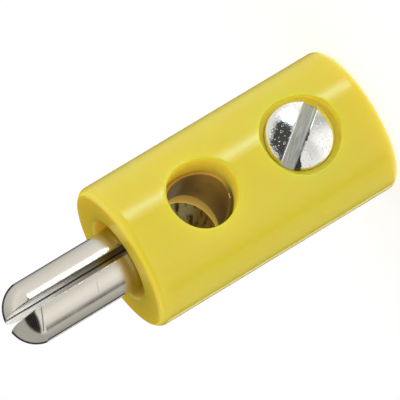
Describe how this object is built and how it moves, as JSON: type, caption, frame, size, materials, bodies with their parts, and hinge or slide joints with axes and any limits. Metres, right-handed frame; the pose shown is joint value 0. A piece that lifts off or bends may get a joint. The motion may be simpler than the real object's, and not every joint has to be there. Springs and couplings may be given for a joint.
{
  "type": "banana plug",
  "caption": "Small stackable plug: split sprung pin in front of a drilled metal core, in a round moulded insulating sleeve with a cross socket and a recessed slotted clamp screw.",
  "frame": {"origin": "centre of the flat rear face of the sleeve, on which the plug can stand", "axes": "+Z along the plug's axis to the tip of the split pin, -Y out of the clamp screw's head and the cross socket"},
  "size_m": [0.0062, 0.0062, 0.0163],
  "materials": {
    "sleeve_plastic": "satin moulded yellow thermoplastic",
    "contact_nickel": "turned brass with bright nickel plating",
    "screw_plate": "bright plated steel"
  },
  "bodies": {
    "plug": {"insulating_sleeve": "sleeve_plastic", "contact_pin": "contact_nickel"},
    "screw": {"clamp_screw": "screw_plate"}
  },
  "joints": [
    {"name": "clamp_screw_turn", "type": "hinge", "parent": "plug", "child": "screw", "pos_m": [0, -0.0021, 0.0031], "axis": [0, -1, 0], "range_deg": [-295, 665]}
  ]
}
